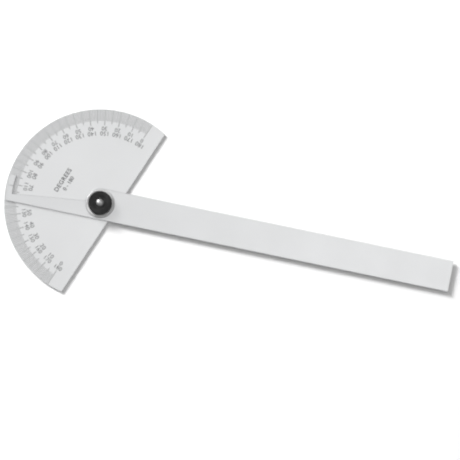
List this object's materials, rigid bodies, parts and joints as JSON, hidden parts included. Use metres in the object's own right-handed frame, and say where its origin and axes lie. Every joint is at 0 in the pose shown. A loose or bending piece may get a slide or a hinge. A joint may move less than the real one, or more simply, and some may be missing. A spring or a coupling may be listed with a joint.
{
  "type": "machinist's protractor",
  "caption": "Flat steel protractor: a half-round graduated head with a straight base, and a long pivoting arm with an index flag, locked by a thumb nut.",
  "frame": {"origin": "pivot axis at the flat back of the head", "axes": "+Z out of the graduated face along the pivot, +X square to the straight base edge and away from the scale, +Y towards the 0 end of the outer row of figures"},
  "size_m": [0.185, 0.1025, 0.0088],
  "materials": {
    "head_steel": "satin chrome on steel, with engraved black-filled graduations",
    "arm_steel": "satin chrome on steel, fine lengthwise grain",
    "stud_steel": "polished steel, domed end",
    "washer_steel": "bright turned washer",
    "nut_black": "black oxide on turned and knurled steel",
    "line_fill": "matt black paint in the engraved lines and figures"
  },
  "bodies": {
    "head": {"head_plate": "head_steel", "pivot_stud": "stud_steel"},
    "arm": {"arm": "arm_steel"},
    "washer": {"washer": "washer_steel"},
    "lock_nut": {"lock_nut": "nut_black"}
  },
  "joints": [
    {"name": "arm_pivot", "type": "hinge", "parent": "head", "child": "arm", "pos_m": [0, 0, 0.0023], "axis": [0, 0, 1], "range_deg": [-111.4, 68.6]},
    {"name": "nut_lift", "type": "slide", "parent": "head", "child": "washer", "axis": [0, 0, 1], "range_m": [0, 0.0005]},
    {"name": "nut_turn", "type": "hinge", "parent": "washer", "child": "lock_nut", "pos_m": [0, 0, 0.006], "axis": [0, 0, 1], "range_deg": [0, 360]}
  ],
  "couplings": [
    {"joint": "nut_turn", "follows": "nut_lift", "rad_per_m": 12566}
  ]
}
